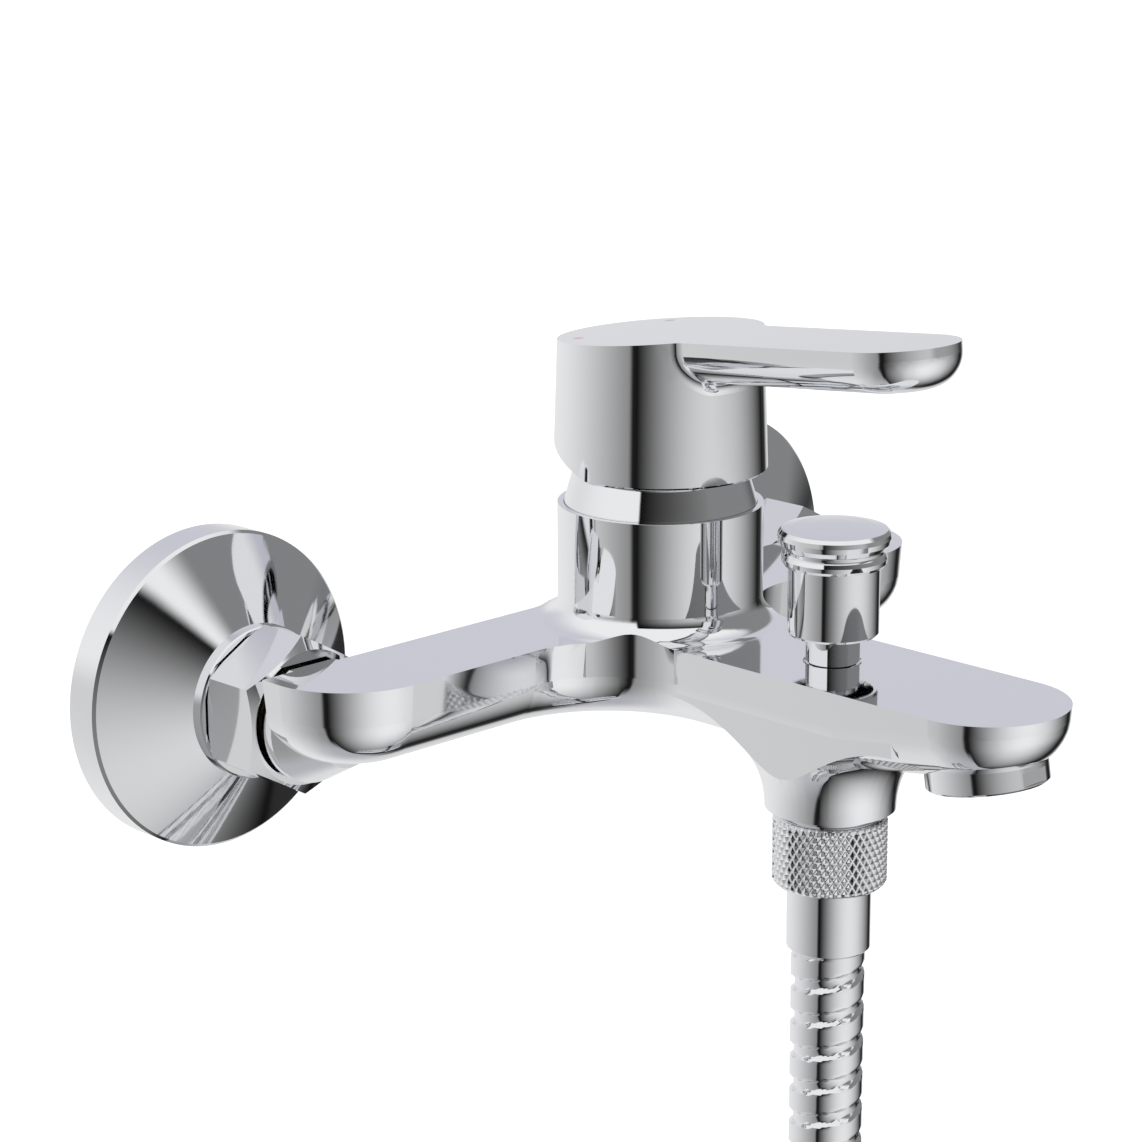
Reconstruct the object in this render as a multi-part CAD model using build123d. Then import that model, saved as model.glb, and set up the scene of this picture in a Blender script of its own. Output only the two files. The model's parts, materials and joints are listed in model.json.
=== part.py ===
from build123d import *
import math
import os

os.makedirs("parts", exist_ok=True)

# Wall mounted bath mixer, millimetres. Origin on the wall face midway between
# the two inlets, at inlet height. X to the right, -Y out of the wall, Z up.

# inlets and wall side; depths are distances from the wall
INLET_HALF = 75.0          # half of the 150 mm pipe spacing
G12_R = 10.48              # G 1/2 male thread, outer radius
G12_BORE_R = 9.35          # G 1/2 female thread, inner radius
G34_R = 13.2               # G 3/4 male thread, outer radius
THREAD_PLAY = 0.08
WATER_R = 6.0              # waterway of the inlets
THREAD_IN_WALL = 16.0
FLANGE_R = 33.3            # wall flange, outer radius
FLANGE_RIM = 7.9           # depth of its cylindrical rim
FLANGE_WALL = 2.0
FLANGE_COLLAR_R = G34_R + 2.7
FLANGE_COLLAR_Y = 20.2     # front of its collar
COLLAR_LEN = 2.6
UNION_END_Y = 25.0         # front face of the wall union
GASKET_T = 2.5
STRAINER_T = 1.2
NUT_AF = 2 * G34_R + 2.4   # union nut across flats
NUT_BACK_Y = 20.6
NUT_FRONT_Y = 34.8
NUT_THREAD_Y = 30.0        # where its thread ends at the inner shoulder
TAIL_R = 9.9               # smooth inlet tail inside the union nut
TAIL_COLLAR_R = G34_R - 1.3
TAIL_PLUG_R = 8.0          # part of the tail pressed into the body

# body casting
TOP_Z = 11.3               # flat top of arms and spout
HULL_H = 17.6              # height of arms
ARM_REAR = 37.3
ARM_FRONT = 61.0
ARM_END = INLET_HALF + 13.8
ARM_END_R = 18.6
SPOUT_HALF = 16.9
SPOUT_TIP = 163.3
CORNER_R = 20.0
HULL_DRAFT = 4.0           # degrees
HULL_EDGE_R = 11.0
SPOUT_SLOPE = 9.4          # degrees, underside rising to the tip
SLOPE_START = SPOUT_TIP - 40.3
REAR_FILLET = 12.0
REAR_COLLAR_R = 12.7
REAR_COLLAR_Y = 36.0
REAR_COLLAR_LEN = 2.2
PLUG_END_Y = 41.5          # end of the tail in the body
COLLAR_TIP_Y = 47.5

# turret and cartridge; the cartridge is stacked up from the chamber's floor
TURRET_Y = 60.0
CHAMBER_R = 17.6
TURRET_WALL = 3.8
TURRET_R = CHAMBER_R + TURRET_WALL
TURRET_TOP = 36.0
TURRET_FILLET = 5.0
BULGE_R = TURRET_R + 4.6   # rear of the body behind the turret
CHAMBER_FLOOR = 12.0
NUT_BORE_R = CHAMBER_R + 1.3
COVER_SEAT_R = TURRET_R - 1.25
COVER_SEAT_Z = TURRET_TOP - 1.5
SLACK = 0.1                # small radial clearance of fixed inner pieces
GASKET_Z = CHAMBER_FLOOR + 0.8
BASE_Z = GASKET_Z + 4.2
FIXED_DISC_Z = BASE_Z + 3.5
DISC_GAP = 0.05            # water film between the ceramic discs
MOVING_DISC_Z = FIXED_DISC_Z + DISC_GAP + 3.5
CARRIER_Z = MOVING_DISC_Z + 3.35
SHOULDER_Z = CHAMBER_FLOOR + 18.0
NECK_Z = SHOULDER_Z + 8.0
ROTOR_Z = SHOULDER_Z + 11.0
PIVOT_Z = SHOULDER_Z + 4.0  # lift axis of the lever
HOUSING_R = CHAMBER_R - 0.2
DISC_ROOM_R = CHAMBER_R - 3.9
NECK_R = CHAMBER_R - 4.1
NECK_BORE_R = CHAMBER_R - 6.1
ROTOR_PLAY = 0.06
MOVING_DISC_R = CHAMBER_R - 7.6
PIN_R = 1.48
PIN_PLAY = 0.02
SPINDLE_W = 8.0
SPINDLE_TOP = SHOULDER_Z + 29.5
SPINDLE_LOW = SHOULDER_Z + 0.5
SLOT_PLAY = 0.15
BALL_R = 2.45
BALL_Z = PIVOT_Z - 7.2
BALL_PLAY = 0.2
PORT_R = 3.6
PORT_X = 8.0
PORT_Y = 6.0
MIX_PORT_Y = 7.0

# waterways of the body
ARM_DUCT_R = 4.5
ARM_DUCT_Y = 51.5
ARM_DUCT_Z = 2.4
BATH_DUCT_Z = 1.0
BATH_DUCT_W = 12.0
BATH_DUCT_H = 4.6

# handle
CAP_R_LOW = TURRET_R + 0.8
CAP_R_TOP = TURRET_R - 0.15
CAP_LOW_Z = TURRET_TOP + 7.2
CAP_TOP_Z = SPINDLE_TOP + 12.1   # on the turret axis
TOP_SLOPE = 5.6            # degrees, top plane rising to the lever's tip
CAP_WALL = 2.0
CAP_ROOF = 6.2
LEVER_HALF = 12.8
LEVER_TIP = 135.2
LEVER_T = 8.8
LEVER_EDGE_R = 6.9
LEVER_ROOT_R = 3.0
RELIEF_SLOPE = 19.0        # degrees, rear of the skirt cut away for the lift
HUB_R = 7.5
HUB_LOW_Z = SPINDLE_TOP - 12.0
SQUARE_PLAY = 0.03
SCREW_R = 2.5
SCREW_Z = SPINDLE_TOP - 3.5
DOT_R = 1.1
DOT_T = 0.6
DOT_X = 13.5
DOT_Y = 10.4               # behind the turret axis, along the top face

# diverter and shower outlet
OUTLET_Y = 107.9
STEM_R = 5.45
STEM_CORE_R = 3.0
STEM_PLAY = 0.07
KNOB_SKIRT_R = 9.15
KNOB_WALL = 1.1
KNOB_LOW_Z = TOP_Z + 5.8   # pulled up
KNOB_TOP_Z = KNOB_LOW_Z + 22.5
DIVERTER_TRAVEL = 5.2
DIVERTER_BORE_R = 8.2
FIT = 0.04                 # radial clearance of rings in the diverter bore
BUSH_Z = 5.9
BUSH_TOP = BUSH_Z + 2.8
SEAT_R = 5.9               # bore of both valve seats
SEAT_Z = -1.6
SEAT_T = 1.5
SEAL_R = DIVERTER_BORE_R - 1.0
SEAL_T = 3.2
SEAT_GAP = 0.05
NIPPLE_TOP_Z = SEAT_Z - SEAL_T - DIVERTER_TRAVEL - 2 * SEAT_GAP
NIPPLE_STEP_Z = NIPPLE_TOP_Z - 1.5
NIPPLE_ROOT_R = DIVERTER_BORE_R + 1.25
NIPPLE_LOW_Z = -30.5
NIPPLE_BORE_R = 7.0
BOSS_R = NIPPLE_ROOT_R + 3.85
BOSS_LOW_Z = -19.3
TRUMPET_R = 20.0

# aerator
AER_Y = SPOUT_TIP - 15.3
AER_Z = -4.95
AER_TILT = SPOUT_SLOPE
AER_R = 12.1
AER_DEPTH = 8.0
AER_H = 6.2
INSERT_T = 3.3
JET_R = 0.8

# hose
HOSE_R = 7.55
HOSE_BORE_R = 5.0
FERRULE_R = HOSE_R + 1.0
FERRULE_LEN = 13.5
FERRULE_DEPTH = 5.3        # how far the hose's insert reaches short of its end
HOSE_WASHER_T = 2.0
INSERT_FLANGE_T = 1.4
HOSE_NUT_R = 11.75
HOSE_NUT_TOP_Z = BOSS_LOW_Z - 1.3
HOSE_NUT_LOW_Z = NIPPLE_LOW_Z - 4.9
HOSE_TOP_Z = HOSE_NUT_LOW_Z - 0.4 - FERRULE_LEN
HOSE_RUN = 105.0           # straight drop, and slanting run to the coil
HOSE_TAIL = 60.0
COIL_R = 90.0
COIL_TURNS = 2.125
COIL_PITCH = 2 * HOSE_R + 0.5
COIL_PLAY = 0.2
TIE_T = 1.5


def ring(r_out, r_in, z_low, z_high, x=0.0, y=0.0):
    """Upright ring between two heights."""
    h = z_high - z_low
    body = Cylinder(r_out, h, align=(Align.CENTER, Align.CENTER, Align.MIN))
    if r_in > 0:
        body -= Cylinder(r_in, h, align=(Align.CENTER, Align.CENTER, Align.MIN))
    return Pos(x, y, z_low) * body


def ring_y(r_out, r_in, y_back, y_front, x):
    """Ring round an inlet axis. Depths are distances from the wall."""
    h = y_front - y_back
    body = Cylinder(r_out, h, align=(Align.CENTER, Align.CENTER, Align.MIN))
    if r_in > 0:
        body -= Cylinder(r_in, h, align=(Align.CENTER, Align.CENTER, Align.MIN))
    return Pos(x, -y_back, 0) * Rot(90, 0, 0) * body


def turned(points, x=0.0, y=0.0):
    """Solid turned about a vertical axis from (radius, height) points."""
    face = make_face(Polyline([(r, 0, z) for r, z in points], close=True))
    return Pos(x, y, 0) * revolve(face, Axis.Z, 360)


def turned_y(points, x):
    """Solid turned about an inlet axis from (radius, depth) points."""
    face = make_face(Polyline([(r, -d, 0) for r, d in points], close=True))
    return Pos(x, 0, 0) * revolve(face, Axis.Y, 360)


# ---------------------------------------------------------------- body
def plan_outline():
    """Outline of arms and spout, seen from above."""
    tip_c = -SPOUT_TIP + SPOUT_HALF
    in_x = SPOUT_HALF + CORNER_R
    in_y = -ARM_FRONT - CORNER_R
    end_x = ARM_END - ARM_END_R
    end_y = -ARM_FRONT + ARM_END_R
    reach = BULGE_R + REAR_FILLET
    drop = TURRET_Y - ARM_REAR + REAR_FILLET
    rear_x = math.sqrt(reach**2 - drop**2)
    on_x = rear_x * BULGE_R / reach
    on_y = -TURRET_Y + drop * BULGE_R / reach
    k = math.sqrt(0.5)
    half = math.atan2(rear_x, drop) / 2
    mid = (rear_x - REAR_FILLET * math.sin(half), -ARM_REAR + REAR_FILLET * (1 - math.cos(half)))
    lines = [ThreePointArc((-SPOUT_HALF, tip_c), (0, -SPOUT_TIP), (SPOUT_HALF, tip_c))]
    for s in (1, -1):
        lines.append(Line((s * SPOUT_HALF, tip_c), (s * SPOUT_HALF, in_y)))
        bend = (s * (in_x - CORNER_R * k), in_y + CORNER_R * k)
        lines.append(ThreePointArc((s * SPOUT_HALF, in_y), bend, (s * in_x, -ARM_FRONT)))
        lines.append(Line((s * in_x, -ARM_FRONT), (s * end_x, -ARM_FRONT)))
        bend = (s * (end_x + ARM_END_R * k), end_y - ARM_END_R * k)
        lines.append(ThreePointArc((s * end_x, -ARM_FRONT), bend, (s * ARM_END, end_y)))
        lines.append(Line((s * ARM_END, end_y), (s * ARM_END, -ARM_REAR)))
        lines.append(Line((s * ARM_END, -ARM_REAR), (s * rear_x, -ARM_REAR)))
        lines.append(ThreePointArc((s * rear_x, -ARM_REAR), (s * mid[0], mid[1]), (s * on_x, on_y)))
    lines.append(ThreePointArc((on_x, on_y), (0, -TURRET_Y + BULGE_R), (-on_x, on_y)))
    return make_face(Wire(lines))


def drafted(depth):
    """The outline pulled down from the top plane with its draft."""
    face = Pos(0, 0, TOP_Z) * plan_outline()
    return extrude(face, amount=depth, dir=(0, 0, -1), taper=HULL_DRAFT)


def hull():
    """Flat topped boat shape with a rounded underside."""
    body = drafted(HULL_H)
    low = TOP_Z - HULL_H
    wedge = Box(80, 120, 40, align=(Align.CENTER, Align.MAX, Align.MAX))
    body -= Pos(0, -SLOPE_START, low) * Rot(-SPOUT_SLOPE, 0, 0) * wedge
    edges = []
    for e in body.edges():
        c = e.center()
        crease = abs(c.Y + SLOPE_START) < 0.2 and abs(c.X) < 0.2
        upright = e.bounding_box().size.Z > 12
        if c.Z < low + 9 and c.Y < -ARM_REAR - 2.7 and not upright and not crease:
            edges.append(e)
    return fillet(edges, HULL_EDGE_R)


def trumpet():
    """Shower outlet boss that flares up into the underside."""
    z0 = BOSS_LOW_Z + 0.3
    bend = 90 * math.pi / 180 / 2
    mid = (BOSS_R + TRUMPET_R * (1 - math.cos(bend)), z0 + TRUMPET_R * math.sin(bend))
    end = (BOSS_R + TRUMPET_R, z0 + TRUMPET_R)
    edge = BOSS_LOW_Z
    outline = [
        Line((0, 0, edge), (BOSS_R - 0.8, 0, edge)),
        Line((BOSS_R - 0.8, 0, edge), (BOSS_R, 0, z0)),
        ThreePointArc((BOSS_R, 0, z0), (mid[0], 0, mid[1]), (end[0], 0, end[1])),
        Line((end[0], 0, end[1]), (end[0], 0, TOP_Z - 4)),
        Line((end[0], 0, TOP_Z - 4), (0, 0, TOP_Z - 4)),
        Line((0, 0, TOP_Z - 4), (0, 0, edge)),
    ]
    horn = Pos(0, -OUTLET_Y, 0) * revolve(make_face(Wire(outline)), Axis.Z, 360)
    strip = Pos(0, -OUTLET_Y, TOP_Z) * Rectangle(2 * SPOUT_HALF - 0.7, 90)
    depth = TOP_Z - BOSS_LOW_Z + 1
    return horn & extrude(strip, amount=depth, dir=(0, 0, -1), taper=HULL_DRAFT - 1)


def turret():
    """Upright socket of the cartridge with a hollow fillet round its foot."""
    r = TURRET_R
    f = TURRET_FILLET
    k = f * (1 - math.sqrt(0.5))
    outline = [
        Line((0, 0, 4), (r + f, 0, 4)),
        Line((r + f, 0, 4), (r + f, 0, TOP_Z)),
        ThreePointArc((r + f, 0, TOP_Z), (r + k, 0, TOP_Z + k), (r, 0, TOP_Z + f)),
        Line((r, 0, TOP_Z + f), (r, 0, TURRET_TOP)),
        Line((r, 0, TURRET_TOP), (0, 0, TURRET_TOP)),
        Line((0, 0, TURRET_TOP), (0, 0, 4)),
    ]
    post = Pos(0, -TURRET_Y, 0) * revolve(make_face(Wire(outline)), Axis.Z, 360)
    return post & extrude(plan_outline(), 60)


def body_casting():
    """Arms, turret, spout and outlet boss in one casting, with its waterways."""
    body = hull() + trumpet() + turret()
    for s in (-1, 1):
        knee = REAR_COLLAR_Y + REAR_COLLAR_LEN
        collar = [(0, REAR_COLLAR_Y), (REAR_COLLAR_R, REAR_COLLAR_Y), (REAR_COLLAR_R, knee)]
        collar += [(WATER_R + 1.6, COLLAR_TIP_Y), (0, COLLAR_TIP_Y)]
        above = Box(4 * REAR_COLLAR_R, 60, 10, align=(Align.CENTER, Align.CENTER, Align.MIN))
        body += turned_y(collar, s * INLET_HALF) - Pos(s * INLET_HALF, -COLLAR_TIP_Y, TOP_Z) * above
    for s in (-1, 1):
        x = s * INLET_HALF
        body -= ring_y(TAIL_PLUG_R + 0.03, 0, REAR_COLLAR_Y - 1, PLUG_END_Y + SLACK, x)
        body -= ring_y(WATER_R, 0, PLUG_END_Y - 0.5, ARM_DUCT_Y - 1.5, x)
        run = INLET_HALF + ARM_DUCT_R - PORT_X
        duct = Cylinder(ARM_DUCT_R, run, align=(Align.CENTER, Align.CENTER, Align.MIN))
        body -= Pos(s * PORT_X, -ARM_DUCT_Y, ARM_DUCT_Z) * Rot(0, 90 * s, 0) * duct
        body -= ring(PORT_R, 0, ARM_DUCT_Z, CHAMBER_FLOOR + 1, s * PORT_X, -TURRET_Y + PORT_Y)
    body -= ring(CHAMBER_R, 0, CHAMBER_FLOOR, TURRET_TOP + 1, 0, -TURRET_Y)
    body -= ring(NUT_BORE_R, 0, SHOULDER_Z - 0.5, TURRET_TOP + 1, 0, -TURRET_Y)
    body -= ring(COVER_SEAT_R, 0, COVER_SEAT_Z, TURRET_TOP + 1, 0, -TURRET_Y)
    # mixed water down and out to the diverter
    mix_y = -TURRET_Y - MIX_PORT_Y
    body -= ring(PORT_R, 0, 3.0, CHAMBER_FLOOR + 1, 0, mix_y)
    start = Vector(0, mix_y, 4.2)
    stop = Vector(0, -OUTLET_Y + 3, -5.6)
    span = stop - start
    way = Cylinder(PORT_R - 0.2, span.length, align=(Align.CENTER, Align.CENTER, Align.MIN))
    body -= Plane(origin=start, x_dir=(1, 0, 0), z_dir=span) * way
    # diverter chamber, stem hole and bath duct
    hole = STEM_R + STEM_PLAY + 0.01
    body -= ring(DIVERTER_BORE_R, 0, BOSS_LOW_Z - 1, BUSH_TOP, 0, -OUTLET_Y)
    body -= ring(NIPPLE_ROOT_R + 0.05, 0, BOSS_LOW_Z - 1, NIPPLE_STEP_Z, 0, -OUTLET_Y)
    body -= ring(hole, 0, BUSH_Z, TOP_Z + 1, 0, -OUTLET_Y)
    mouth = [(0, TOP_Z - 0.45), (hole, TOP_Z - 0.45), (hole + 0.5, TOP_Z + 0.05), (0, TOP_Z + 0.05)]
    body -= turned(mouth, 0, -OUTLET_Y)
    length = AER_Y - OUTLET_Y + 4
    duct = Box(BATH_DUCT_W, length, BATH_DUCT_H, align=(Align.CENTER, Align.MAX, Align.MIN))
    body -= Pos(0, -OUTLET_Y, BATH_DUCT_Z) * duct
    body -= aerator_plane() * ring(AER_R + 0.05, 0, -12, AER_DEPTH)
    body -= aerator_plane() * ring(BATH_DUCT_W / 2 + 0.5, 0, 0, AER_DEPTH + 1.6)
    return body


# -------------------------------------------------------------- inlets
def inlet_tail(s):
    """Tube that holds the loose union nut on the body."""
    x = s * INLET_HALF
    collar_y = NUT_THREAD_Y - 0.4
    tail = ring_y(TAIL_COLLAR_R, WATER_R, UNION_END_Y + GASKET_T, collar_y, x)
    tail += ring_y(TAIL_R, WATER_R, collar_y, REAR_COLLAR_Y, x)
    tail += ring_y(TAIL_PLUG_R, WATER_R, REAR_COLLAR_Y, PLUG_END_Y, x)
    return tail


def hexagon(af, flat_side, height):
    """Upright hexagonal prism with flats square to the given axis."""
    turn = 30 if flat_side == "x" else 0
    face = RegularPolygon(af / 2, 6, major_radius=False)
    return extrude(Rot(0, 0, turn) * face, height)


def union_nut(s):
    """Hexagonal union nut with chamfered ends."""
    x = s * INLET_HALF
    length = NUT_FRONT_Y - NUT_BACK_Y
    prism = hexagon(NUT_AF, "x", length)
    flat = NUT_AF / 2
    corner = flat / math.cos(math.pi / 6) + 0.1
    cone = [(0, 0), (flat + 0.4, 0), (corner, 1.0), (corner, length - 1.9)]
    cone += [(flat - 0.5, length), (0, length)]
    prism &= turned(cone)
    nut = Pos(x, -NUT_BACK_Y, 0) * Rot(90, 0, 0) * prism
    nut -= ring_y(G34_R + THREAD_PLAY, 0, NUT_BACK_Y - 1, NUT_THREAD_Y, x)
    nut -= ring_y(TAIL_R + 0.3, 0, NUT_BACK_Y, NUT_FRONT_Y + 1, x)
    return nut


def wall_union(s):
    """Straight threaded connector between the pipe in the wall and the nut."""
    x = s * INLET_HALF
    bore = WATER_R + 0.5
    piece = ring_y(G12_R, bore, -THREAD_IN_WALL, 2.0, x)
    piece += ring_y((G12_R + G34_R) / 2 + 0.16, bore, 2.0, 13.0, x)
    piece += ring_y(G34_R, bore, 13.0, UNION_END_Y, x)
    return piece


def wall_flange(s):
    """Thin pressed cover plate with a rim, a shallow cone and a collar."""
    x = s * INLET_HALF
    hole = G34_R + 0.1
    front = FLANGE_COLLAR_Y
    outer = [(hole, front), (FLANGE_COLLAR_R - 0.3, front), (FLANGE_COLLAR_R, front - 0.3)]
    outer += [(FLANGE_COLLAR_R, front - COLLAR_LEN), (FLANGE_R - 0.6, FLANGE_RIM)]
    outer += [(FLANGE_R, FLANGE_RIM - 0.6), (FLANGE_R, 0)]
    inside = FLANGE_R - FLANGE_WALL
    inner = [(inside, 0), (inside, FLANGE_RIM - 1.5), (hole + 1.2, front - COLLAR_LEN - 1.4)]
    inner += [(hole, front - COLLAR_LEN - 1.4)]
    return turned_y(outer + inner, x)


def gasket(s):
    """Rubber washer between union and tail."""
    x = s * INLET_HALF
    return ring_y(TAIL_COLLAR_R + 0.5, WATER_R + 0.9, UNION_END_Y, UNION_END_Y + GASKET_T, x)


def strainer(s):
    """Perforated disc that sits in the bore of the wall union."""
    x = s * INLET_HALF
    back = UNION_END_Y - 0.8 - STRAINER_T
    disc = ring_y(WATER_R + 0.45, 0, back, back + STRAINER_T, x)
    centres = [(x, 0)]
    for n in range(6):
        a = n * math.pi / 3
        centres.append((x + 4 * math.cos(a), 4 * math.sin(a)))
    for px, pz in centres:
        disc -= Pos(px, -back, pz) * Rot(90, 0, 0) * Cylinder(1.1, 8)
    return disc


# ----------------------------------------------------------- cartridge
def port_holes(radius, x, y_in, y_mix, z_low, z_high):
    """Hot, cold and mixed water holes about the turret axis."""
    holes = ring(radius, 0, z_low, z_high, x, -TURRET_Y + y_in)
    holes += ring(radius, 0, z_low, z_high, -x, -TURRET_Y + y_in)
    holes += ring(radius, 0, z_low, z_high, 0, -TURRET_Y - y_mix)
    return holes


def cartridge_gasket():
    plate = ring(CHAMBER_R - 1.1, 0, CHAMBER_FLOOR, GASKET_Z, 0, -TURRET_Y)
    return plate - port_holes(3.4, 6.8, 5.3, 6.4, CHAMBER_FLOOR - 1, GASKET_Z + 1)


def cartridge_base():
    plate = ring(CHAMBER_R - 0.3, 0, GASKET_Z, BASE_Z, 0, -TURRET_Y)
    return plate - port_holes(3.0, 6.6, 5.2, 6.2, GASKET_Z - 1, BASE_Z + 1)


def fixed_disc():
    plate = ring(DISC_ROOM_R - SLACK, 0, BASE_Z, FIXED_DISC_Z, 0, -TURRET_Y)
    return plate - port_holes(2.4, 5.5, 4.5, 5.5, BASE_Z - 1, FIXED_DISC_Z + 1)


def moving_disc():
    low = FIXED_DISC_Z + DISC_GAP
    plate = ring(MOVING_DISC_R, 0, low, MOVING_DISC_Z, 0, -TURRET_Y)
    return plate - ring(4.6, 0, low - 1, low + 1.85, 0, -TURRET_Y - 3.6)


def disc_carrier():
    plate = ring(MOVING_DISC_R + 0.2, 0, MOVING_DISC_Z, CARRIER_Z, 0, -TURRET_Y)
    pocket = 2 * (BALL_R + BALL_PLAY)
    return plate - Pos(0, -TURRET_Y, MOVING_DISC_Z) * Box(pocket + 0.5, pocket, 10)


def cartridge_housing():
    shell = ring(HOUSING_R, DISC_ROOM_R, BASE_Z, SHOULDER_Z - 1.2, 0, -TURRET_Y)
    shell += ring(HOUSING_R, NECK_BORE_R, SHOULDER_Z - 1.2, SHOULDER_Z, 0, -TURRET_Y)
    shell += ring(NECK_R, NECK_BORE_R, SHOULDER_Z, NECK_Z, 0, -TURRET_Y)
    return shell


def cartridge_rotor():
    flange_top = SHOULDER_Z - 1.4
    body = ring(DISC_ROOM_R - 0.4, 0, CARRIER_Z + 0.3, flange_top, 0, -TURRET_Y)
    body += ring(NECK_BORE_R - ROTOR_PLAY, 0, flange_top, ROTOR_Z, 0, -TURRET_Y)
    width = SPINDLE_W + 2 * SLOT_PLAY
    body -= Pos(0, -TURRET_Y - 0.35, PIVOT_Z) * Box(width, 14.5, 20)
    return body - pivot_place() * Cylinder(PIN_R + PIN_PLAY, 4 * NECK_R)


def pivot_place():
    """Lift axis, along X."""
    return Pos(0, -TURRET_Y, PIVOT_Z) * Rot(0, 90, 0)


def pivot_pin():
    return pivot_place() * Cylinder(PIN_R, 2 * (NECK_BORE_R - 0.75))


def cartridge_spindle():
    """Square lever of the cartridge with a ball end in the disc carrier."""
    align = (Align.CENTER, Align.CENTER, Align.MIN)
    bar = Box(SPINDLE_W, SPINDLE_W, SPINDLE_TOP - SPINDLE_LOW, align=align)
    bar = Pos(0, -TURRET_Y, SPINDLE_LOW) * chamfer(bar.edges().filter_by(Axis.Z), 0.6)
    bar += ring(BALL_R - 0.45, 0, BALL_Z - 0.8, SPINDLE_LOW + 0.5, 0, -TURRET_Y)
    bar += Pos(0, -TURRET_Y, BALL_Z) * Sphere(BALL_R)
    return bar - pivot_place() * Cylinder(PIN_R + 3 * PIN_PLAY, 40)


def cartridge_nut():
    nut = ring(NUT_BORE_R - SLACK, 0, SHOULDER_Z, SHOULDER_Z + 4.3, 0, -TURRET_Y)
    nut += Pos(0, -TURRET_Y, SHOULDER_Z + 4.3) * hexagon(2 * NECK_R + 2, "y", 4.7)
    return nut - ring(NECK_R + 0.3, 0, SHOULDER_Z - 1, SHOULDER_Z + 10, 0, -TURRET_Y)


def cover_ring():
    """Chrome cone between the turret's lip and the handle's skirt."""
    low = COVER_SEAT_R - SLACK
    top = TURRET_TOP + 9.4
    r_top = CHAMBER_R - 0.1
    pts = [(low, COVER_SEAT_Z), (low, TURRET_TOP + 0.3), (r_top, top - 0.4), (r_top - 0.3, top)]
    pts += [(r_top - 1.5, top), (r_top - 1.6, top - 0.4), (low - 1.75, TURRET_TOP + 1.2)]
    pts += [(low - 1.75, COVER_SEAT_Z)]
    return turned(pts, 0, -TURRET_Y)


# -------------------------------------------------------------- handle
def top_plane():
    """Sloping top face of cap and lever."""
    t = math.radians(TOP_SLOPE)
    up = (0, math.sin(t), math.cos(t))
    return Plane(origin=(0, -TURRET_Y, CAP_TOP_Z), x_dir=(1, 0, 0), z_dir=up)


def lever_blade():
    """Flat paddle with a rounded underside and a round tip."""
    reach = (LEVER_TIP - TURRET_Y) / math.cos(math.radians(TOP_SLOPE)) - LEVER_HALF
    h = LEVER_HALF
    root = -8
    lines = [
        Line((-h, root), (-h, -reach)),
        ThreePointArc((-h, -reach), (0, -reach - h), (h, -reach)),
        Line((h, -reach), (h, root)),
        Line((h, root), (-h, root)),
    ]
    blade = extrude(make_face(Wire(lines)), amount=-LEVER_T)
    low = []
    for e in blade.edges():
        c = e.center()
        if abs(c.Z + LEVER_T) < 0.01 and c.Y < root - 1:
            low.append(e)
    return top_plane() * fillet(low, LEVER_EDGE_R)


def cap_radius(z):
    """Outer radius of the slightly tapered cap at a height."""
    slope = (CAP_R_LOW - CAP_R_TOP) / (CAP_TOP_Z - CAP_LOW_Z)
    return CAP_R_LOW - slope * (z - CAP_LOW_Z)


def handle_lever():
    """Cap over the cartridge with the paddle that turns and lifts it."""
    high = CAP_TOP_Z + 6
    cap = [(0, CAP_LOW_Z), (CAP_R_LOW - 0.5, CAP_LOW_Z), (CAP_R_LOW, CAP_LOW_Z + 0.5)]
    cap += [(cap_radius(high), high), (0, high)]
    body = turned(cap, 0, -TURRET_Y)
    above = Box(90, 90, 30, align=(Align.CENTER, Align.CENTER, Align.MIN))
    body -= top_plane() * above
    body += lever_blade()
    rise = math.tan(math.radians(TOP_SLOPE))
    joint = []
    for e in body.edges():
        c = e.center()
        out = math.hypot(c.X, c.Y + TURRET_Y)
        in_front = c.Y < -TURRET_Y - 0.65 * CAP_R_TOP
        below_top = c.Z < CAP_TOP_Z - (c.Y + TURRET_Y) * rise - 0.05
        near = 0.8 * CAP_R_TOP < out < CAP_R_TOP + 2 and c.Z > CAP_TOP_Z - LEVER_T - 3
        if near and in_front and below_top:
            joint.append(e)
    body = fillet(joint, LEVER_ROOT_R)
    ceiling = CAP_TOP_Z - CAP_ROOF
    r_in = CAP_R_LOW - CAP_WALL
    room = [(0, CAP_LOW_Z - 1), (r_in, CAP_LOW_Z - 1), (r_in, CAP_LOW_Z)]
    room += [(cap_radius(ceiling) - CAP_WALL, ceiling), (0, ceiling)]
    body -= turned(room, 0, -TURRET_Y)
    body += ring(HUB_R, 0, HUB_LOW_Z, ceiling + 1, 0, -TURRET_Y)
    square = SPINDLE_W + 2 * SQUARE_PLAY
    depth = SPINDLE_TOP + 0.5 - HUB_LOW_Z
    align = (Align.CENTER, Align.CENTER, Align.MAX)
    body -= Pos(0, -TURRET_Y, SPINDLE_TOP + 0.5) * Box(square, square, depth + 1, align=align)
    cut = Box(90, 60, 40, align=(Align.CENTER, Align.MIN, Align.MAX))
    body -= Pos(0, -TURRET_Y - 1.5, CAP_LOW_Z) * Rot(RELIEF_SLOPE, 0, 0) * cut
    body -= screw_place() * ring(SCREW_R + 0.02, 0, SPINDLE_W / 2 - 1, HUB_R + 2)
    body -= screw_place() * ring(SCREW_R + 0.3, 0, CAP_R_LOW - CAP_WALL - 3, CAP_R_LOW + 2)
    for s in (-1, 1):
        body -= dot_place(s) * ring(DOT_R + 0.03, 0, -DOT_T, 1)
    return body


def screw_place():
    """Axis of the clamping screw, towards the wall."""
    return Pos(0, -TURRET_Y, SCREW_Z) * Rot(-90, 0, 0)


def dot_place(s):
    """Plane of one temperature mark on the top face."""
    return top_plane() * Pos(s * DOT_X, DOT_Y, 0)


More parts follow.
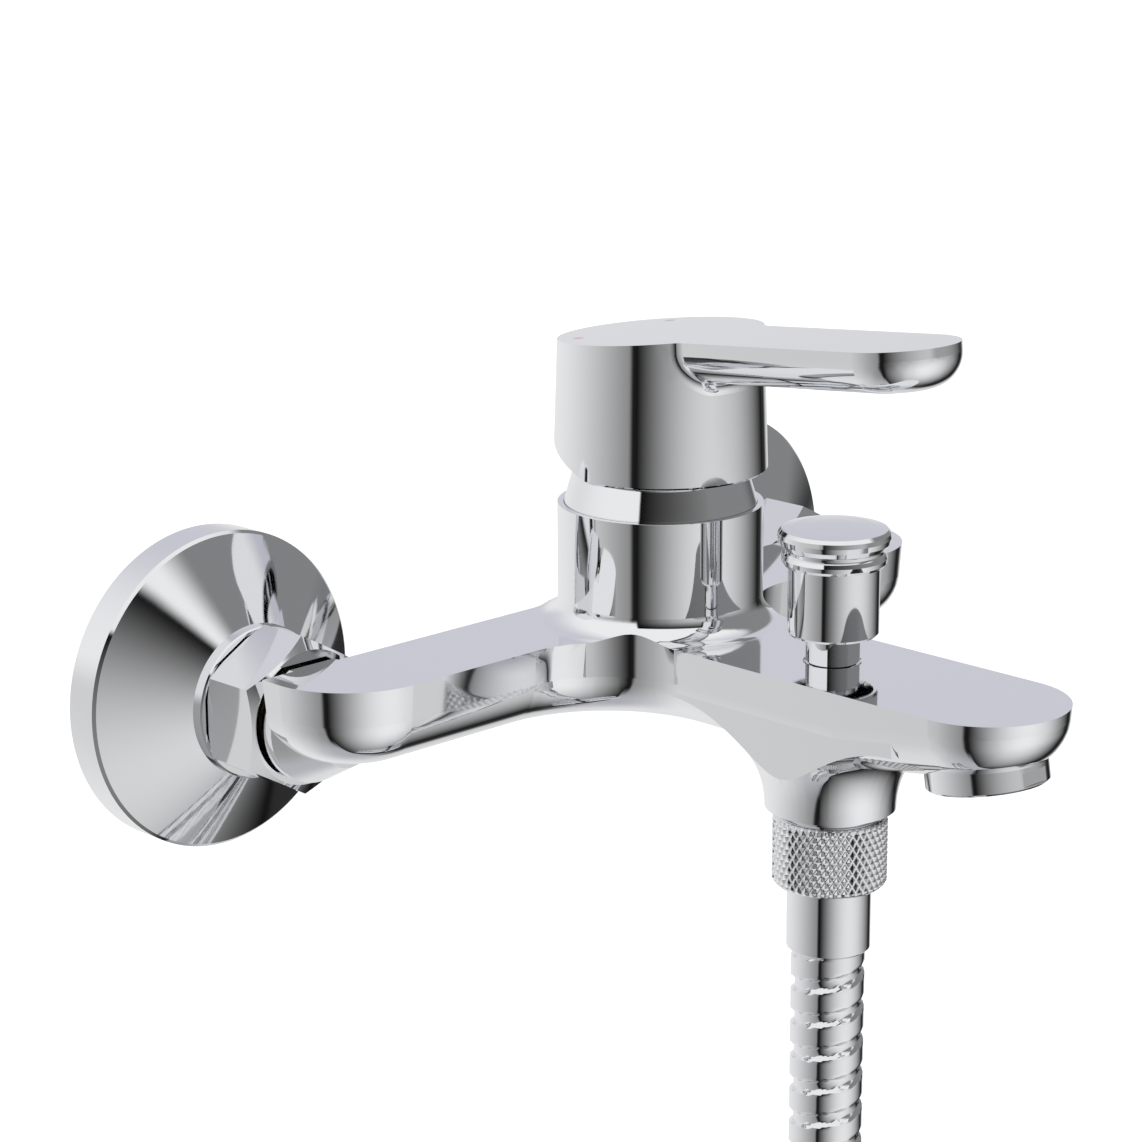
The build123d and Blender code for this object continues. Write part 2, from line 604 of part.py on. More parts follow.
def index_dot(s):
    return dot_place(s) * ring(DOT_R, 0, -DOT_T, 0)


def set_screw():
    low = SPINDLE_W / 2 + SQUARE_PLAY
    top = low + 5
    socket = Pos(0, 0, top - 2.5) * hexagon(2.5, "x", 3)
    return screw_place() * (ring(SCREW_R, 0, low, top) - socket)


def screw_plug():
    r = cap_radius(SCREW_Z)
    return screw_place() * ring(SCREW_R + 0.25, 0, r - CAP_WALL - 1, r - 0.5)


# ------------------------------------------------------------ diverter
def diverter_knob():
    """Pull knob: domed button, grooved rim and hollow skirt."""
    r = KNOB_SKIRT_R
    low = KNOB_LOW_Z
    roof = KNOB_TOP_Z - 10.6
    outline = [(r - KNOB_WALL + 0.2, 0), (r - 0.35, 0), (r, 0.5), (r, 14.0), (r + 0.85, 14.2)]
    outline += [(r + 1.3, 14.8), (r + 1.4, 15.7), (r + 1.15, 16.5), (r + 0.75, 16.9)]
    outline += [(r + 0.75, 17.4), (r + 1.25, 17.8), (r + 1.95, 18.8), (r + 2.2, 19.9)]
    outline += [(r + 2.05, 20.8), (r + 1.45, 21.5), (r - 1.15, 22.0), (r - 5.15, 22.35), (0, 22.5)]
    pts = [(x, low + z) for x, z in outline]
    core = STEM_CORE_R + 0.03
    pts += [(0, roof + 5.6), (core, roof + 5.6), (core, roof), (r - KNOB_WALL, roof)]
    pts += [(r - KNOB_WALL, low + 0.8)]
    return turned(pts, 0, -OUTLET_Y)


def diverter_stem():
    """Stepped stem: wide through the top, slim through knob and seal."""
    low = SEAT_Z - SEAT_GAP - SEAL_T - 2.35
    step = BUSH_Z - 0.5
    roof = KNOB_TOP_Z - 10.6
    core = STEM_CORE_R
    pts = [(0, low), (core, low), (core, step), (STEM_R, step), (STEM_R, roof), (core, roof)]
    pts += [(core, roof + 5.4), (0, roof + 5.4)]
    return turned(pts, 0, -OUTLET_Y)


def stem_bush():
    """Guide ring with a groove for the seal ring of the stem."""
    inner = STEM_R + STEM_PLAY
    outer = DIVERTER_BORE_R - FIT
    groove = (outer + inner) / 2 + 0.35
    pts = [(inner, BUSH_Z), (outer, BUSH_Z), (outer, BUSH_TOP), (inner, BUSH_TOP)]
    pts += [(inner, BUSH_TOP - 0.7), (groove, BUSH_TOP - 0.7), (groove, BUSH_Z + 0.7)]
    pts += [(inner, BUSH_Z + 0.7)]
    return turned(pts, 0, -OUTLET_Y)


def stem_oring():
    groove = (DIVERTER_BORE_R - FIT + STEM_R + STEM_PLAY) / 2 + 0.35
    return ring(groove - 0.05, STEM_R + 0.03, BUSH_Z + 0.75, BUSH_TOP - 0.75, 0, -OUTLET_Y)


def upper_seat():
    return ring(DIVERTER_BORE_R - FIT, SEAT_R, SEAT_Z, SEAT_Z + SEAT_T, 0, -OUTLET_Y)


def diverter_seal():
    top = SEAT_Z - SEAT_GAP
    return ring(SEAL_R, STEM_CORE_R + 0.03, top - SEAL_T, top, 0, -OUTLET_Y)


def stem_nut():
    top = SEAT_Z - SEAT_GAP - SEAL_T
    nut = Pos(0, -OUTLET_Y, top - 2.05) * hexagon(2 * STEM_CORE_R + 1.8, "y", 2.05)
    return nut - ring(STEM_CORE_R + 0.03, 0, top - 4, top + 1, 0, -OUTLET_Y)


def outlet_nipple():
    """Screwed-in nipple: lower valve seat above, G 1/2 thread below."""
    low = NIPPLE_LOW_Z
    thread = G12_R - 0.05
    pts = [(SEAT_R, NIPPLE_TOP_Z), (DIVERTER_BORE_R - 0.1, NIPPLE_TOP_Z)]
    pts += [(DIVERTER_BORE_R - 0.1, NIPPLE_STEP_Z), (NIPPLE_ROOT_R, NIPPLE_STEP_Z)]
    pts += [(NIPPLE_ROOT_R, BOSS_LOW_Z), (thread, BOSS_LOW_Z), (thread, low + 0.5)]
    pts += [(thread - 0.55, low), (NIPPLE_BORE_R, low), (NIPPLE_BORE_R, NIPPLE_TOP_Z - 2.9)]
    pts += [(SEAT_R, NIPPLE_TOP_Z - 2.3)]
    return turned(pts, 0, -OUTLET_Y)


# ------------------------------------------------------------- aerator
def aerator_plane():
    """Lower face of the aerator, tilted so that the jet leans forward."""
    t = math.radians(AER_TILT)
    up = (0, math.sin(t), math.cos(t))
    return Plane(origin=(0, -AER_Y, AER_Z), x_dir=(1, 0, 0), z_dir=up)


def aerator_housing():
    """Threaded ring with two wrench flats, front and back."""
    lip = AER_R - 3.3
    inside = AER_R - 2.5
    pts = [(lip, 0), (AER_R - 0.4, 0), (AER_R, 0.4), (AER_R, AER_H), (inside, AER_H)]
    pts += [(inside, 0.9), (lip, 0.9)]
    body = turned(pts)
    for s in (-1, 1):
        flat = Box(30, 4, 2.8, align=(Align.CENTER, Align.MIN, Align.MIN))
        body -= Rot(0, 0, 90 - 90 * s) * Pos(0, AER_R - 0.5, 0.6) * flat
    return aerator_plane() * body


def aerator_insert():
    """Jet plate with rings of small holes."""
    r = AER_R - 2.55
    disc = ring(r, 0, 0.9, 0.9 + INSERT_T)
    for count, share in ((6, 0.30), (12, 0.58), (16, 0.82)):
        for n in range(count):
            a = 2 * math.pi * n / count
            disc -= ring(JET_R, 0, 0, 6, share * r * math.cos(a), share * r * math.sin(a))
    disc -= ring(JET_R, 0, 0, 6)
    return aerator_plane() * disc


def aerator_washer():
    return aerator_plane() * ring(AER_R - 0.1, AER_R - 3.1, AER_H, AER_DEPTH)


# ---------------------------------------------------------------- hose
def hose_nut():
    """Round nut of the shower hose."""
    r = HOSE_NUT_R
    top = HOSE_NUT_TOP_Z
    low = HOSE_NUT_LOW_Z
    hole = FERRULE_R - 0.95
    pts = [(G12_R, top), (r - 0.7, top), (r, top - 0.6), (r, low + 1.0), (r - 1.0, low)]
    pts += [(hole, low), (hole, low + 1.5), (G12_R, low + 1.5)]
    return turned(pts, 0, -OUTLET_Y)


def hose_washer():
    low = NIPPLE_LOW_Z - HOSE_WASHER_T
    return ring(G12_R - 0.38, NIPPLE_BORE_R - 0.6, low, NIPPLE_LOW_Z, 0, -OUTLET_Y)


def hose_insert():
    """Flanged tube that carries the nut and holds the hose in its ferrule."""
    top = NIPPLE_LOW_Z - HOSE_WASHER_T
    under = top - INSERT_FLANGE_T
    low = HOSE_TOP_Z + FERRULE_DEPTH
    piece = ring(G12_R - 0.48, HOSE_BORE_R, under, top, 0, -OUTLET_Y)
    return piece + ring(FERRULE_R - 1.55, HOSE_BORE_R, low, under, 0, -OUTLET_Y)


def hose_ferrule():
    r = FERRULE_R
    top = HOSE_TOP_Z + FERRULE_LEN
    low = HOSE_TOP_Z
    seat = low + FERRULE_DEPTH
    hole = r - 1.52
    pts = [(hole, top), (r - 0.3, top), (r, top - 0.3), (r, low + 0.4), (r - 0.4, low)]
    pts += [(HOSE_BORE_R, low), (HOSE_BORE_R, seat), (hole, seat)]
    return turned(pts, 0, -OUTLET_Y)


def coil_centre_z():
    """Height of the coil's centre: the slanting run is a tangent to it."""
    k = math.sqrt(0.5)
    return HOSE_TOP_Z - HOSE_RUN - HOSE_RUN * k - COIL_R * k


def coil_centre_x():
    k = math.sqrt(0.5)
    return HOSE_RUN * k - COIL_R * k


def hose_points():
    """Route of the hanging hose, in the plane of the outlet."""
    k = math.sqrt(0.5)
    bend = Vector(0, -OUTLET_Y, HOSE_TOP_Z - HOSE_RUN)
    end = bend + Vector(HOSE_RUN * k, 0, -HOSE_RUN * k)
    return [Vector(0, -OUTLET_Y, HOSE_TOP_Z), bend, end]


def hose_tube():
    """Hanging stretch of the hose, down to where it meets the coil."""
    points = hose_points()
    radius = 0.45 * HOSE_RUN / math.tan(math.pi / 8)
    path = FilletPolyline(*points, radius=radius)
    section = Plane(origin=points[0], z_dir=(0, 0, -1)) * Circle(HOSE_R)
    tube = sweep(section, path=path)
    area = math.pi * HOSE_R**2
    print("hose bend radius", round(radius, 1), "= diameters", round(radius / HOSE_R / 2, 1))
    print("tube volume / section x length", round(tube.volume / (area * path.length), 4))
    coil = COIL_TURNS * math.hypot(2 * math.pi * COIL_R, COIL_PITCH)
    print("hose length", round(path.length + coil + HOSE_TAIL))
    return tube - hose_coil()


def coil_span():
    """Depths of the coil's first and last turn."""
    first = -OUTLET_Y
    return first, first + COIL_TURNS * COIL_PITCH


def hose_coil():
    """Outer shape of the wound hose, one closed ring."""
    first, last = coil_span()
    width = last - first + 2 * HOSE_R
    wide = 2 * (HOSE_R + COIL_PLAY)
    section = Pos(COIL_R, 0) * RectangleRounded(wide, width, 0.86 * HOSE_R)
    body = revolve(section, Axis.Y, 360)
    return Pos(coil_centre_x(), (first + last) / 2, coil_centre_z()) * body


def end_place():
    """End of the hose, with Z back up along it."""
    last = coil_span()[1]
    return Pos(coil_centre_x() + COIL_R, last, coil_centre_z() - HOSE_TAIL)


def hose_tail():
    """Last straight stretch, hanging out of the coil."""
    align = (Align.CENTER, Align.CENTER, Align.MIN)
    return end_place() * Cylinder(HOSE_R, HOSE_TAIL, align=align) - hose_coil()


def end_ferrule():
    r = FERRULE_R
    low = -FERRULE_LEN
    pts = [(HOSE_BORE_R, 0), (r - 0.4, 0), (r, -0.4), (r, low + 0.3), (r - 0.3, low), (4.0, low)]
    pts += [(4.0, -4.0), (HOSE_BORE_R, -4.0)]
    return end_place() * turned(pts)


def cone_nut():
    """Conical hand shower nut, open at its wide end."""
    top = -FERRULE_LEN - 0.1
    inner = FERRULE_R + 0.05
    shelf = top - 5.4
    low = top - 18.0
    pts = [(inner, top), (inner + 1.0, top), (inner + 1.8, top - 0.6), (12.3, low + 0.6)]
    pts += [(11.8, low), (G12_BORE_R, low), (G12_BORE_R, shelf - 1.8)]
    pts += [(inner + 1.0, shelf - 1.8), (inner + 1.0, shelf), (inner, shelf)]
    return end_place() * turned(pts)


def end_insert():
    """Tube that carries the cone nut on the end ferrule."""
    shelf = -FERRULE_LEN - 5.5
    piece = ring(3.95, 2.6, shelf, -4.0) + ring(FERRULE_R + 0.45, 2.6, shelf - 1.6, shelf)
    return end_place() * (piece + ring(FERRULE_R - 0.05, 2.6, shelf, -FERRULE_LEN))


def hose_tie():
    """Strap round the coil at its top."""
    first, last = coil_span()
    width = last - first + 2 * HOSE_R
    corner = 0.86 * HOSE_R
    inner = RectangleRounded(2 * HOSE_R + 1.2, width + 0.8, corner)
    outer = RectangleRounded(2 * HOSE_R + 1.2 + 2 * TIE_T, width + 0.8 + 2 * TIE_T, corner + 1)
    band = extrude(outer - inner, 4.0, both=True)
    place = Pos(coil_centre_x(), (first + last) / 2, coil_centre_z() + COIL_R)
    return place * Rot(0, 90, 0) * band


NODES = {
    "body_casting": body_casting,
    "inlet_tail_left": lambda: inlet_tail(-1),
    "inlet_tail_right": lambda: inlet_tail(1),
    "union_nut_left": lambda: union_nut(-1),
    "union_nut_right": lambda: union_nut(1),
    "wall_union_left": lambda: wall_union(-1),
    "wall_union_right": lambda: wall_union(1),
    "wall_flange_left": lambda: wall_flange(-1),
    "wall_flange_right": lambda: wall_flange(1),
    "inlet_gasket_left": lambda: gasket(-1),
    "inlet_gasket_right": lambda: gasket(1),
    "strainer_left": lambda: strainer(-1),
    "strainer_right": lambda: strainer(1),
    "cartridge_gasket": cartridge_gasket,
    "cartridge_base": cartridge_base,
    "fixed_disc": fixed_disc,
    "moving_disc": moving_disc,
    "disc_carrier": disc_carrier,
    "cartridge_housing": cartridge_housing,
    "cartridge_rotor": cartridge_rotor,
    "pivot_pin": pivot_pin,
    "cartridge_spindle": cartridge_spindle,
    "cartridge_nut": cartridge_nut,
    "cover_ring": cover_ring,
    "handle_lever": handle_lever,
    "set_screw": set_screw,
    "screw_plug": screw_plug,
    "index_dot_hot": lambda: index_dot(-1),
    "index_dot_cold": lambda: index_dot(1),
    "diverter_knob": diverter_knob,
    "diverter_stem": diverter_stem,
    "stem_bush": stem_bush,
    "stem_oring": stem_oring,
    "upper_seat": upper_seat,
    "diverter_seal": diverter_seal,
    "stem_nut": stem_nut,
    "outlet_nipple": outlet_nipple,
    "aerator_housing": aerator_housing,
    "aerator_insert": aerator_insert,
    "aerator_washer": aerator_washer,
    "hose_nut": hose_nut,
    "hose_washer": hose_washer,
    "hose_insert": hose_insert,
    "hose_ferrule": hose_ferrule,
    "hose_tube": hose_tube,
    "hose_coil": hose_coil,
    "hose_tail": hose_tail,
    "hose_tie": hose_tie,
    "end_ferrule": end_ferrule,
    "end_insert": end_insert,
    "cone_nut": cone_nut,
}

for name, make in NODES.items():
    export_step(make(), "parts/" + name + ".step")
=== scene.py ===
import json
import math

import bmesh
import bpy
from mathutils import Matrix, Vector


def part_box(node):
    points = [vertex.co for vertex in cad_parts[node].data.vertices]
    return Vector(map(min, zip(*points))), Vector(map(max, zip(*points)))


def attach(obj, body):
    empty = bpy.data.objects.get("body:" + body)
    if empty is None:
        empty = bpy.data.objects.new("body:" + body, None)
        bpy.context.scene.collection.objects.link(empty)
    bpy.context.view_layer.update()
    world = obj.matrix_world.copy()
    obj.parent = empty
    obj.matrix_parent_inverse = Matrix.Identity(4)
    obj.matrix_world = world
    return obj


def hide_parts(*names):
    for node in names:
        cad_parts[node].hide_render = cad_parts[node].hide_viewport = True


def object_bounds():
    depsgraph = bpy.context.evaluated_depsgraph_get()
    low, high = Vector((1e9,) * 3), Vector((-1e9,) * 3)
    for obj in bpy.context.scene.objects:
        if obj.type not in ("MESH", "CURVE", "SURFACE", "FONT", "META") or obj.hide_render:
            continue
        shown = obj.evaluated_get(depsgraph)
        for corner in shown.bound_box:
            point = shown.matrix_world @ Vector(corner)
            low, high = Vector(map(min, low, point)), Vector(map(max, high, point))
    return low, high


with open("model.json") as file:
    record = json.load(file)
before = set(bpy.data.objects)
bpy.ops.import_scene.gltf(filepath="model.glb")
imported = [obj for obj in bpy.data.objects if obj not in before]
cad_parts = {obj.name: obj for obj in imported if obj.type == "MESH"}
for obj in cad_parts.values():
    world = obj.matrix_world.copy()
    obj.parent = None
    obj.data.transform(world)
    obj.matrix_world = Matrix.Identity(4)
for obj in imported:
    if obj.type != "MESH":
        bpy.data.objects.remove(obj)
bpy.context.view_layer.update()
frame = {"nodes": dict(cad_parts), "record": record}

# ------------------------------------------------------------- camera
AZIMUTH = -44.38
ELEVATION = 15.06
ROLL = -0.26
DISTANCE = 0.7166
TARGET = Vector((-0.00833, -0.04187, 0.0189))
LENS = 107.2


def add_camera():
    """Camera at the photograph's angle: front left, slightly above."""
    a = math.radians(AZIMUTH)
    e = math.radians(ELEVATION)
    away = Vector((math.sin(a) * math.cos(e), -math.cos(a) * math.cos(e), math.sin(e)))
    cam = bpy.data.objects.new("camera", bpy.data.cameras.new("camera"))
    cam.data.lens = LENS
    cam.data.sensor_width = 36.0
    cam.data.clip_start = 0.01
    cam.data.clip_end = 50.0
    turn = (-away).to_track_quat("-Z", "Y").to_matrix().to_4x4()
    roll = Matrix.Rotation(math.radians(ROLL), 4, "Z")
    cam.matrix_world = Matrix.Translation(TARGET + away * DISTANCE) @ turn @ roll
    bpy.context.scene.collection.objects.link(cam)
    bpy.context.scene.camera = cam


# ---------------------------------------------------------- materials
class Nodes:
    """Short way to write a node tree."""

    def __init__(self, name):
        self.mat = bpy.data.materials.new(name)
        self.mat.use_nodes = True
        self.tree = self.mat.node_tree
        self.shader = self.tree.nodes["Principled BSDF"]

    def add(self, kind, **values):
        node = self.tree.nodes.new(kind)
        for key, value in values.items():
            setattr(node, key, value)
        return node

    def link(self, a, b):
        self.tree.links.new(a, b)

    def place(self):
        return self.add("ShaderNodeTexCoord").outputs["Object"]

    def noise(self, scale, detail=3.0, vector=None):
        node = self.add("ShaderNodeTexNoise")
        node.inputs["Scale"].default_value = scale
        node.inputs["Detail"].default_value = detail
        self.link(vector or self.place(), node.inputs["Vector"])
        return node.outputs["Fac"]

    def span(self, value, low, high):
        node = self.add("ShaderNodeMapRange")
        node.inputs["To Min"].default_value = low
        node.inputs["To Max"].default_value = high
        self.link(value, node.inputs["Value"])
        return node.outputs["Result"]

    def two_tone(self, low, high, spots):
        """Colour that wanders between two close tones."""
        mix = self.add("ShaderNodeMix", data_type="RGBA")
        mix.inputs["A"].default_value = (*low, 1)
        mix.inputs["B"].default_value = (*high, 1)
        self.link(spots, mix.inputs["Factor"])
        self.link(mix.outputs["Result"], self.shader.inputs["Base Color"])

    def bump(self, height, distance, strength=0.5):
        node = self.add("ShaderNodeBump")
        node.inputs["Distance"].default_value = distance
        node.inputs["Strength"].default_value = strength
        self.link(height, node.inputs["Height"])
        self.link(node.outputs["Normal"], self.shader.inputs["Normal"])

    def set(self, **values):
        for key, value in values.items():
            self.shader.inputs[key.replace("_", " ")].default_value = value


def chrome(name, tint, smear=0.05):
    """Mirror plating: a little haze that varies, and a faint ripple of the polish."""
    n = Nodes(name)
    n.set(Metallic=1.0)
    haze = n.noise(38.0, 4.0)
    n.link(n.span(haze, 0.02, 0.02 + smear), n.shader.inputs["Roughness"])
    n.two_tone([c * 0.97 for c in tint], tint, n.noise(9.0, 2.0))
    n.bump(n.noise(22.0, 1.0), 0.00002, 0.15)
    return n.mat


def metal(name, low, high, rough, grain):
    """Machined metal with fine turning marks."""
    n = Nodes(name)
    n.set(Metallic=1.0)
    n.two_tone(low, high, n.noise(120.0, 4.0))
    n.link(n.span(n.noise(300.0), rough, rough + 0.12), n.shader.inputs["Roughness"])
    n.bump(n.noise(grain, 5.0), 0.00003)
    return n.mat


def moulded(name, low, high, rough, grain, coat=0.0):
    """Plastic, rubber or ceramic with a fine skin."""
    n = Nodes(name)
    n.set(Coat_Weight=coat)
    n.two_tone(low, high, n.noise(90.0, 4.0))
    n.link(n.span(n.noise(180.0), rough, rough + 0.12), n.shader.inputs["Roughness"])
    n.bump(n.noise(grain, 5.0), 0.00004)
    return n.mat


def make_materials():
    grey = (0.86, 0.865, 0.88)
    return {
        "chrome_casting": chrome("chrome_casting", grey),
        "chrome_handle": chrome("chrome_handle", grey),
        "chrome_trim": chrome("chrome_trim", (0.84, 0.845, 0.86), 0.06),
        "brass": metal("brass", (0.62, 0.46, 0.2), (0.78, 0.62, 0.32), 0.24, 900.0),
        "rubber_black": moulded("rubber_black", (0.02, 0.02, 0.02), (0.05, 0.05, 0.05), 0.6, 700.0),
        "ceramic": moulded("ceramic", (0.82, 0.81, 0.76), (0.92, 0.91, 0.87), 0.18, 1500.0, 0.4),
        "nylon_white": moulded("nylon_white", (0.78, 0.78, 0.75), (0.88, 0.88, 0.86), 0.42, 1100.0),
        "nylon_grey": moulded("nylon_grey", (0.4, 0.41, 0.43), (0.55, 0.56, 0.58), 0.4, 1100.0),
        "steel": metal("steel", (0.42, 0.42, 0.43), (0.6, 0.6, 0.61), 0.28, 1200.0),
        "hot_red": moulded("hot_red", (0.70, 0.16, 0.16), (0.82, 0.24, 0.22), 0.22, 1500.0, 0.6),
        "cold_blue": moulded("cold_blue", (0.28, 0.38, 0.68), (0.36, 0.46, 0.76), 0.22, 1500.0, 0.6),
        "hose_jacket": chrome("hose_jacket", (0.83, 0.835, 0.85), 0.08),
        "tie_black": moulded("tie_black", (0.02, 0.02, 0.02), (0.06, 0.06, 0.06), 0.5, 500.0),
    }


def dress_cad(materials):
    """Gives each CAD node the procedural finish of its slot, and shades its round faces smooth."""
    slots = {part["node"]: part["material_slot"] for part in frame["record"]["subparts"]}
    for name, node in frame["nodes"].items():
        node.data.materials.clear()
        node.data.materials.append(materials[slots[name]])
        node.data.polygons.foreach_set("use_smooth", [True] * len(node.data.polygons))
        node.data.set_sharp_from_angle(angle=math.radians(24))


# --------------------------------------------------------------- hose
HOSE_D = 0.0151
HOSE_RUN = 0.105
HOSE_TAIL = 0.060
COIL_R = 0.090
COIL_TURNS = 2.125
COIL_PITCH = 0.0156
BAND_PITCH = 0.00736
BAND_DEPTH = 0.00085
HOSE_SIDES = 36


def hose_route():
    """Control points: the drop, the slant, the wound turns and the tail."""
    low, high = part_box("hose_ferrule")
    x = (low[0] + high[0]) / 2
    y = (low[1] + high[1]) / 2
    top = low[2]
    k = math.sqrt(0.5)
    bend = Vector((x, y, top - HOSE_RUN))
    end = bend + Vector((HOSE_RUN * k, 0, -HOSE_RUN * k))
    centre = end - Vector((COIL_R * k, 0, COIL_R * k))
    points = [Vector((x, y, top)), Vector((x, y, top - 0.045)), bend]
    points.append(bend.lerp(end, 0.62))
    steps = round(COIL_TURNS * 16)
    outside = COIL_R / math.cos(math.pi * COIL_TURNS / steps)
    for i in range(steps):
        part = (i + 0.5) / steps
        a = math.pi / 4 - 2 * math.pi * COIL_TURNS * part
        back = COIL_TURNS * COIL_PITCH * part
        points.append(centre + Vector((outside * math.cos(a), back, outside * math.sin(a))))
    last = centre + Vector((COIL_R, COIL_TURNS * COIL_PITCH, 0))
    points.append(last + Vector((0, 0, -HOSE_TAIL * 0.45)))
    points.append(last + Vector((0, 0, -HOSE_TAIL)))
    return points


def smooth_line(points):
    """Points read off a NURBS spline of order 3 through the route."""
    curve = bpy.data.curves.new("hose_line", "CURVE")
    curve.dimensions = "3D"
    curve.resolution_u = 12
    spline = curve.splines.new("NURBS")
    spline.points.add(len(points) - 1)
    for p, co in zip(spline.points, points):
        p.co = (*co, 1.0)
    spline.order_u = 3
    spline.use_endpoint_u = True
    carrier = bpy.data.objects.new("hose_line", curve)
    mesh = bpy.data.meshes.new_from_object(carrier)
    line = [v.co.copy() for v in mesh.vertices]
    bpy.data.objects.remove(carrier)
    bpy.data.curves.remove(curve)
    bpy.data.meshes.remove(mesh)
    return line


def even(line, step):
    """The same line with its points a fixed step apart."""
    out = [line[0]]
    need = step
    for a, b in zip(line, line[1:]):
        length = (b - a).length
        walked = 0.0
        while length - walked >= need:
            walked += need
            out.append(a.lerp(b, walked / length))
            need = step
        need -= length - walked
    out.append(line[-1])
    return out


def frames_along(line):
    """Tangent and two sides at each point, with no twist."""
    tangents = []
    for i in range(len(line)):
        a = line[max(i - 1, 0)]
        b = line[min(i + 1, len(line) - 1)]
        tangents.append((b - a).normalized())
    side = tangents[0].orthogonal().normalized()
    out = []
    for t in tangents:
        side = (side - t * side.dot(t)).normalized()
        out.append((t, side, t.cross(side)))
    return out


def band_height(turn):
    """Profile of the spiral over one pitch, 0 in the groove and 1 on the flat band."""
    u = turn % 1.0
    if u < 0.60:
        return 1.0
    if u < 0.66:
        return 1.0 - 0.5 * (1 - math.cos(math.pi * (u - 0.60) / 0.06))
    if u < 0.94:
        return 0.0
    return 0.5 * (1 - math.cos(math.pi * (u - 0.94) / 0.06))


def hose(material):
    """Metal spiral hose: a flat band wound with an open groove."""
    line = smooth_line(hose_route())
    step = BAND_PITCH / 14
    fine = even(line, step)
    bm = bmesh.new()
    rings = []
    for i, (p, (t, u, v)) in enumerate(zip(fine, frames_along(fine))):
        ring = []
        for j in range(HOSE_SIDES):
            a = 2 * math.pi * j / HOSE_SIDES
            turn = i * step / BAND_PITCH - j / HOSE_SIDES
            r = HOSE_D / 2 - BAND_DEPTH * (1 - band_height(turn))
            ring.append(bm.verts.new(p + u * math.cos(a) * r + v * math.sin(a) * r))
        rings.append(ring)
    for a, b in zip(rings, rings[1:]):
        for j in range(HOSE_SIDES):
            k = (j + 1) % HOSE_SIDES
            bm.faces.new((a[j], a[k], b[k], b[j]))
    bm.faces.new(list(reversed(rings[0])))
    bm.faces.new(rings[-1])
    bmesh.ops.recalc_face_normals(bm, faces=bm.faces)
    piece = new_piece("shower_hose", bm, material)
    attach(piece, "body")
    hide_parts("hose_tube", "hose_coil", "hose_tail")
    length = sum((b - a).length for a, b in zip(line, line[1:]))
    return piece, line, length


def new_piece(name, bm, material, sharp=35):
    mesh = bpy.data.meshes.new(name)
    bm.to_mesh(mesh)
    bm.free()
    mesh.materials.append(material)
    mesh.polygons.foreach_set("use_smooth", [True] * len(mesh.polygons))
    mesh.set_sharp_from_angle(angle=math.radians(sharp))
    piece = bpy.data.objects.new(name, mesh)
    bpy.context.scene.collection.objects.link(piece)
    return piece


# -------------------------------------------------------- knurled nut
THREAD_R = 0.01049          # bore of the nut at its thread
NUT_HOLE_R = 0.0076         # its lower hole, round the ferrule
NUT_FLOOR = 0.0015
KNURL_COUNT = 44
KNURL_ROWS = 96
KNURL_DEPTH = 0.00055
KNURL_MARGIN = 0.0011       # smooth band above and below
KNURL_ANGLE = 32


def knurled_nut(material):
    """Hose nut with a real diamond knurl below a smooth band."""
    low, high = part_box("hose_nut")
    x = (low[0] + high[0]) / 2
    y = (low[1] + high[1]) / 2
    r = (high[0] - low[0]) / 2
    top = high[2]
    bottom = low[2]
    around = KNURL_COUNT * 8
    knurl_top = top - KNURL_MARGIN
    knurl_low = bottom + KNURL_MARGIN
    height = knurl_top - knurl_low
    lead = 2 * math.pi * r / KNURL_COUNT / math.tan(math.radians(KNURL_ANGLE))
    profile = [(THREAD_R, top), (r - 0.0007, top), (r - 0.0002, top - 0.0005)]
    profile += [(None, knurl_top - height * i / KNURL_ROWS) for i in range(KNURL_ROWS + 1)]
    profile += [(r - 0.0005, bottom + 0.0005), (r - 0.0010, bottom), (NUT_HOLE_R, bottom)]
    profile += [(NUT_HOLE_R, bottom + NUT_FLOOR), (THREAD_R, bottom + NUT_FLOOR)]
    bm = bmesh.new()
    rings = []
    for radius, z in profile:
        ring = []
        for j in range(around):
            a = 2 * math.pi * j / around
            rr = radius
            if rr is None:
                s = j * KNURL_COUNT / around
                t = (z - knurl_low) / lead
                one = abs((s + t) % 1.0 - 0.5) * 2
                two = abs((s - t) % 1.0 - 0.5) * 2
                rr = r - KNURL_DEPTH * (1 - min(one, two))
            ring.append(bm.verts.new((x + rr * math.cos(a), y + rr * math.sin(a), z)))
        rings.append(ring)
    for a, b in zip(rings, rings[1:] + rings[:1]):
        for j in range(around):
            k = (j + 1) % around
            bm.faces.new((a[j], b[j], b[k], a[k]))
    bmesh.ops.recalc_face_normals(bm, faces=bm.faces)
    piece = new_piece("knurled_hose_nut", bm, material, 60)
    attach(piece, "body")
    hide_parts("hose_nut")
    return piece


# --------------------------------------------------------------- studio
# directions of the light in degrees: bearings from the camera's own, and heights
PANEL_ACROSS = (55, 84)     # middle and half width
PANEL_UP = (-33, 61)
PANEL_SOFTNESS = 1.3
PANEL_PEAK = 0.95
PANEL_LEFT = (-29, -26)
PANEL_RIGHT = (141, 137)
PANEL_TOP = 28
GLOW_AT = -145
GLOW_PEAK = 0.88
BORDER_LEFT = (-37, -31)
BORDER_RIGHT = (160, 146)
BORDER_DARK = 0.05
GLOW_TOP = (-4, 14)         # the sky takes over between these heights
SKY_TURN = (90, 165)        # and goes from front to back between these bearings
SKY_FRONT = (0.97, 0.97, 0.97, 1)
SKY_BACK = (0.655, 0.66, 0.72, 1)
FLOOR_BELOW = (-50, -85)
FLOOR_LIGHT = (0.48, 0.48, 0.52, 1)
WALL_LEFT = (52, 70)
WALL_RIGHT = (160, 150)
WALL_LOW = (-12, 4)
WALL_HIGH = (46, 38)
WALL_LIGHT = (0.255, 0.257, 0.262, 1)


